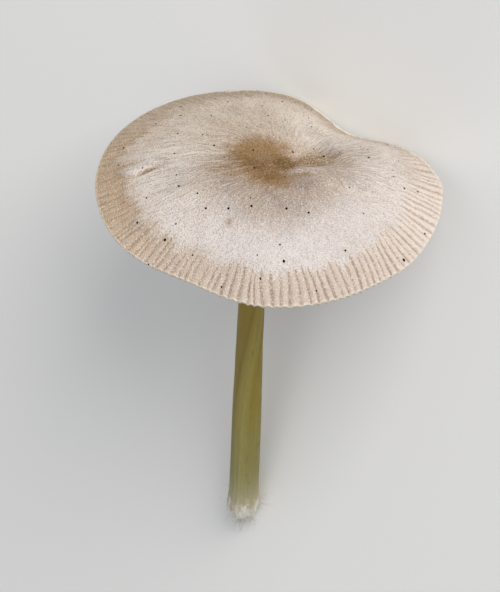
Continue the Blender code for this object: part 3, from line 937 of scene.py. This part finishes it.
# %% Brown middle
curl = finish.noise(finish.place("upright"), 1.4, 2.0, 0.6)
middle_amount = finish.plus(finish.number("middle"), finish.times(cloud, 0.5))
middle_amount = finish.plus(middle_amount, finish.times(fibre, 0.25), finish.times(curl, 0.4))
middle_amount = finish.step(middle_amount, 0.0, 1.0)
finish.cover(middle_amount, LIGHT_BROWN)
deep_amount = finish.plus(finish.number("deep"), finish.times(cloud, 0.4))
deep_amount = finish.plus(deep_amount, finish.times(fibre, 0.45), finish.times(curl, 0.7))
finish.cover(finish.step(deep_amount, 0.1, 1.1), BROWN)
finish.cover(finish.times(finish.number("boss"), 0.15), GREY_BROWN)
# Painted highlight: the glint beside the fold and on the nick's lip.
glint_amount = finish.times(finish.number("glint"), finish.plus(finish.times(grain, -1.5), 0.6))
finish.cover(glint_amount, GLINT)
# The brown spot, and painted shade in the nick's line.
finish.cover(finish.times(finish.number("brown_spot_and_nick_shade"), 0.8), LIGHT_BROWN)

# %% [markdown]
# In front the band's inner edge is crisp, and each line bites into the bloom. At the sides and behind it is
# soft, and on the left it ends in long darker teeth. The rim is cream, with a painted highlight where it
# catches the light.

# %% Tan band, lines and rim
tooth_fibre = finish.fibres(16, 5, 1.0, 0.5)
soft_edge = finish.plus(finish.number("band"), finish.times(fibre, 2.0), finish.times(cloud, 3.0))
soft_edge = finish.plus(soft_edge, finish.times(tooth_fibre, 6.0))
tooth = finish.maths("SUBTRACT", finish.step(soft_edge, -0.4, 1.0), finish.step(soft_edge, 1.0, 3.0))
crisp_edge = finish.plus(finish.number("band"), finish.times(grain, 1.6), finish.times(line, 0.5))
band_amount = finish.plus(
    finish.times(finish.step(soft_edge, -0.8, 2.2), finish.maths("SUBTRACT", 1.0, crisp)),
    finish.times(finish.step(crisp_edge, 0.1, 0.7), crisp),
)
band_colour = TAN
for name, tan in (("left", LEFT_TAN), ("right", RIGHT_TAN), ("back", BACK_TAN)):
    band_colour = finish.blend(finish.number(name), band_colour, tan)
line_amount = finish.step(finish.plus(line, finish.times(grain, 0.4)), 0.2, 1.0)
line_amount = finish.times(line_amount, finish.plus(finish.times(crisp, 0.2), 0.42))
band_colour = finish.blend(line_amount, band_colour, LINE_BROWN)
tooth_amount = finish.times(tooth, finish.number("left"), 0.4)
band_colour = finish.blend(tooth_amount, band_colour, LINE_BROWN)
finish.cover(band_amount, band_colour)
# Cream rim, with a painted highlight at the back right.
finish.cover(finish.number("rim"), CREAM_AND_HIGHLIGHT)

# %% [markdown]
# The grain darkens the skin on one side of its noise and lightens it on the other. It is weaker where the
# skin is brown or wet, and long streaks join it where they were laid.

# %% Grain
long_fibre = finish.fibres(66, 6, 2.0, 0.6)
streaks = finish.times(long_fibre, finish.maths("MAXIMUM", finish.number("streak"), 0.0), 1.9)
grain = finish.plus(grain, streaks)
pale_share = finish.plus(finish.times(middle_amount, -0.25), finish.times(finish.number("painted_shade"), -0.12))
pale_share = finish.plus(pale_share, finish.times(crisp, 0.12), 0.38)
dark_share = finish.plus(finish.times(band_amount, -0.5), finish.times(crisp, -0.3), 1.0)
pale_grain = finish.times(finish.step(finish.times(grain, -1.0), 0.02, 0.3), pale_share)
dark_grain = finish.times(finish.step(grain, 0.02, 0.3), dark_share)
finish.cover(dark_grain, GRAIN_SHADE, "MULTIPLY")
finish.cover(pale_grain, PALE)

# %% [markdown]
# A few dark grains of soil are scattered over the cap, with fewer pale specks that are painted glints. They
# come from a cell pattern in the plan: each cell draws by chance whether it holds a grain or a glint, and
# how large a grain is.

# %% Grains of soil
cells_at = finish.place("upright", (0.25, 0.21, 0.0))
cells = finish.node("ShaderNodeTexVoronoi", {"Vector": cells_at, "Scale": 1.0}, voronoi_dimensions="2D")
draws = finish.node("ShaderNodeSeparateColor", {"Color": cells.outputs["Color"]}).outputs
chosen = finish.maths("GREATER_THAN", draws["Red"], 0.36)
speck_size = finish.plus(finish.times(draws["Green"], draws["Green"], 0.022), 0.034)
within = finish.maths("SUBTRACT", speck_size, cells.outputs["Distance"])
dots = finish.times(chosen, finish.step(within, 0.0, 0.012))
finish.cover(dots, SPECK)
shine = finish.plus(finish.times(dots, -CAP_SHINE), CAP_SHINE)
finish.feed(finish.shader.inputs["Specular IOR Level"], shine)
# Painted glints: small pale specks in cells that hold no grain.
glint_chosen = finish.maths("LESS_THAN", draws["Red"], 0.25)
glint_dots = finish.step(finish.times(cells.outputs["Distance"], -1.0), -0.035, -0.022)
finish.cover(finish.times(glint_chosen, glint_dots, 0.8), GLINT)
finish.bump(finish.times(grain, -1.0), 0.00015)
finish.give(cap)

# %% [markdown]
# ## Finish of the gills
# Gills are matt and whitish, with a greyish pink tinge that deepens between them, and paler edges.

# %% Gill finish
GILL_PALE = paint(240, 231, 224)
GILL_DEEP = paint(200, 182, 172)

finish = Finish("gill_finish", roughness=0.7, specular=0.25, subsurface=0.3)
gill_cloud = finish.noise(finish.place("upright"), 0.3, 3.0, 0.55)
gill_fibre = finish.fibres(60, 12, 3.0, 0.6)
edge_mix = finish.plus(finish.number("edge"), finish.times(gill_cloud, 0.4), 0.1)
finish.colour(GILL_DEEP)
finish.cover(finish.step(edge_mix, 0.0, 0.9), GILL_PALE)
finish.bump(finish.times(gill_fibre, 0.7), 0.0001)
finish.give(gills)

# %% [markdown]
# ## Finish of the stem
# The stem is watery and olive ochre near the cap, greyer and paler lower down, with long fine fibres. A
# darker side and the groove wind down it, and a painted sheen lies along its other side. The foot is pale
# and felted with white.

# %% Stem finish
STEM_OCHRE, STEM_MIDDLE, STEM_GREY = paint(164, 135, 22), paint(143, 124, 30), paint(138, 134, 82)
STEM_DARK, STEM_PALE_AND_SHEEN = paint(112, 88, 30), paint(170, 158, 88)
STEM_FOOT, STEM_DOWN = paint(190, 178, 148), paint(228, 224, 214)

finish = Finish("stem_finish", roughness=0.42, specular=0.4, subsurface=0.1)
long_fibre = finish.fibres(14, 3, 4.0, 0.65)
hair_fibre = finish.fibres(40, 5, 2.0, 0.6)
down = finish.number("down")
finish.colour(STEM_OCHRE)
finish.cover(finish.step(down, 0.25, 0.5), STEM_MIDDLE)
finish.cover(finish.step(down, 0.55, 0.95), STEM_GREY)
finish.cover(finish.times(finish.step(long_fibre, 0.0, 0.35), 0.75), STEM_DARK)
finish.cover(finish.step(finish.times(hair_fibre, -1.0), 0.0, 0.4), STEM_PALE_AND_SHEEN)
finish.cover(finish.times(finish.number("ochre_side"), 0.25), STEM_DARK)
# Painted sheen down the stem's lit side.
finish.cover(finish.times(finish.number("sheen_side"), 0.42), STEM_PALE_AND_SHEEN)
finish.cover(finish.times(finish.number("furrow"), 0.35), STEM_DARK)
mottle = finish.noise(finish.place("upright", (1, 1, 0.6)), 1.1, 3.0, 0.6)
finish.cover(finish.step(mottle, 0.05, 0.4), STEM_DARK)
finish.cover(finish.step(down, 0.82, 1.0), STEM_FOOT)
felt = finish.plus(finish.times(mottle, 1.4), finish.times(finish.step(down, 0.84, 1.0), 0.9))
finish.cover(finish.step(felt, 0.45, 1.0), STEM_DOWN)
finish.bump(finish.plus(finish.times(long_fibre, 0.5), finish.times(hair_fibre, 0.5)), 0.00015)
finish.give(stem)

# %% Thread finish
THREAD_WHITE = paint(238, 236, 230)

finish = Finish("thread_finish", roughness=0.8, specular=0.2, subsurface=0.2)
thread_cloud = finish.noise(finish.place("position"), 900.0, 2.0, 0.5)
finish.colour(THREAD_WHITE)
finish.cover(finish.step(thread_cloud, -0.2, 0.3), STEM_FOOT)
finish.give(threads)

# %% [markdown]
# ## Floor and light
# The floor is plain and pale. One large soft light shines on the cap's top, a weak one beyond the foot
# reaches the gills, and a small one fills in from the left. An even pale surround keeps the shadows light.

# %% Floor
FLOOR_SIZE = 3.0
bpy.ops.mesh.primitive_plane_add(size=FLOOR_SIZE)
floor = bpy.context.object
floor.name = "floor"
floor_finish = Finish("floor_finish", roughness=0.85, specular=0.2)
floor_finish.colour(paint(238, 237, 234))
floor_finish.give(floor)
floor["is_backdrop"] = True


# %% Lights
def soft_light(name, towards, distance, size, watts, tint=(1.0, 1.0, 1.0)):
    """A square area light, placed along an upright direction from the cap and aimed at it."""
    light = bpy.data.lights.new(name, "AREA")
    light.size, light.energy, light.color = size, watts, tint
    holder = bpy.data.objects.new(name, light)
    way = (lying.to_3x3() @ Vector(towards)).normalized()
    holder.location = CAP_MIDDLE + way * distance
    holder.rotation_euler = way.to_track_quat("Z", "Y").to_euler()
    bpy.context.scene.collection.objects.link(holder)
    print(name, "at", [round(x, 2) for x in holder.location])


soft_light("key_light", (0.3, -0.45, 0.9), distance=1.2, size=0.8, watts=11.4, tint=(1.0, 0.98, 0.96))
soft_light("gill_light", (-0.35, -0.5, -0.7), distance=1.2, size=0.8, watts=2.0)
soft_light("fill_light", (-0.5, -1.0, 0.35), distance=0.7, size=0.5, watts=0.5, tint=(0.94, 0.97, 1.0))
world = bpy.data.worlds.new("pale_surround")
world.use_nodes = True
world.node_tree.nodes["Background"].inputs["Color"].default_value = (0.92, 0.95, 1.0, 1.0)
world.node_tree.nodes["Background"].inputs["Strength"].default_value = 0.4
bpy.context.scene.world = world
bpy.context.scene.view_settings.view_transform = "Standard"

# %% [markdown]
# ## Last steps
# The imported box and the dressed box are printed one after the other, so that a change of size shows.

# %% Print the sizes of both boxes
dressed_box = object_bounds()
sizes = {
    "packed": [[float(v) for v in corner] for corner in packed_box],
    "dressed": [[float(v) for v in corner] for corner in dressed_box],
}
for name, (low, high) in sizes.items():
    print(name, [round((b - a) / MM, 2) for a, b in zip(low, high)], "mm")
